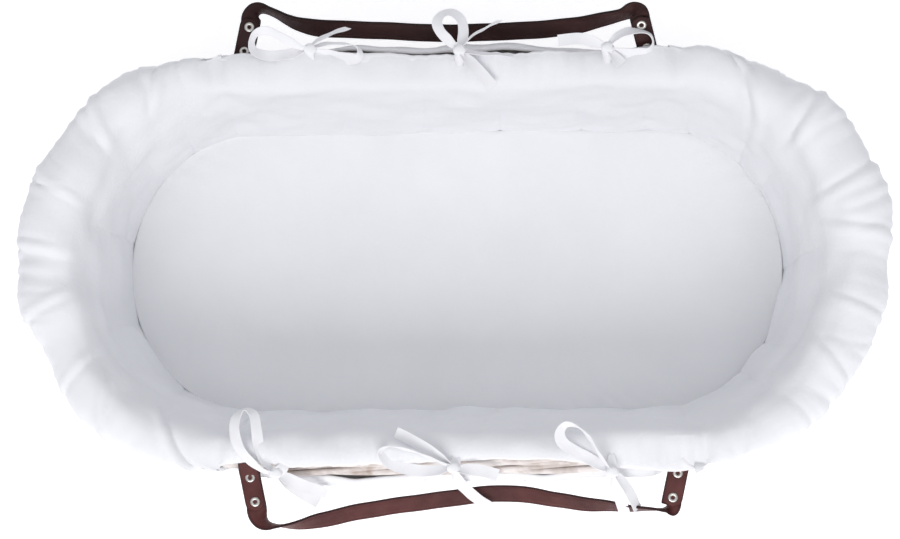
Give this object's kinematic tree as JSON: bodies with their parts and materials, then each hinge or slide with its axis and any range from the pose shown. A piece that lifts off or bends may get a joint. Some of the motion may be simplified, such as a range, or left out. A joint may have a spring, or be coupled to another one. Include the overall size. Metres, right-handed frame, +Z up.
{
  "type": "moses basket",
  "caption": "Woven willow baby cradle basket with a tied, padded cotton liner, a sheeted mattress and two leather carrying handles.",
  "frame": {"origin": "middle of the footprint, on the floor under the foot ring", "axes": "+X along the basket, +Z up; the near handle is on the -Y side and the far one on the +Y side"},
  "size_m": [0.8532, 0.5269, 0.2624],
  "materials": {
    "willow": "whitewashed woven willow, matt",
    "willow_thick": "whitewashed willow rods, matt",
    "quilted_cotton": "white padded cotton, matt",
    "cotton": "white cotton, matt",
    "tape": "white cotton binding tape",
    "sheet_cotton": "white cotton sheet, matt",
    "foam": "foam core",
    "elastic": "woven elastic",
    "leather": "brown leather, lightly waxed",
    "nickel": "nickel-plated, polished"
  },
  "bodies": {
    "basket": {"foot_ring": "willow_thick", "base_weave": "willow", "base_sticks": "willow_thick", "side_stakes": "willow_thick", "siding": "willow", "top_waling": "willow", "border": "willow_thick", "liner_wall": "quilted_cotton", "liner_roll_left": "quilted_cotton", "liner_roll_right": "quilted_cotton", "liner_flap_near": "cotton", "liner_flap_far": "cotton", "skirt_left": "cotton", "skirt_right": "cotton", "skirt_panel_near": "cotton", "skirt_panel_far": "cotton", "hem_casing": "cotton", "hem_elastic": "elastic", "flap_binding_near": "tape", "flap_binding_far": "tape", "panel_binding_near": "tape", "panel_binding_far": "tape", "tie_near_left": "tape", "tie_near_middle": "tape", "tie_near_right": "tape", "tie_far_left": "tape", "tie_far_middle": "tape", "tie_far_right": "tape"},
    "mattress": {"mattress_foam": "foam", "mattress_sheet": "sheet_cotton", "sheet_elastic": "elastic"},
    "near_handle": {"strap_near": "leather", "rivets_near": "nickel", "washers_near": "nickel"},
    "far_handle": {"strap_far": "leather", "rivets_far": "nickel", "washers_far": "nickel"}
  },
  "joints": [
    {"name": "mattress_lift", "type": "slide", "parent": "basket", "child": "mattress", "axis": [0, 0, 1], "range_m": [0, 0.3]},
    {"name": "near_handle_swing", "type": "hinge", "parent": "basket", "child": "near_handle", "pos_m": [0, -0.196, 0.219], "axis": [-1, 0, 0], "range_deg": [-5, 90]},
    {"name": "far_handle_swing", "type": "hinge", "parent": "basket", "child": "far_handle", "pos_m": [0, 0.196, 0.219], "axis": [1, 0, 0], "range_deg": [-4, 76]}
  ]
}
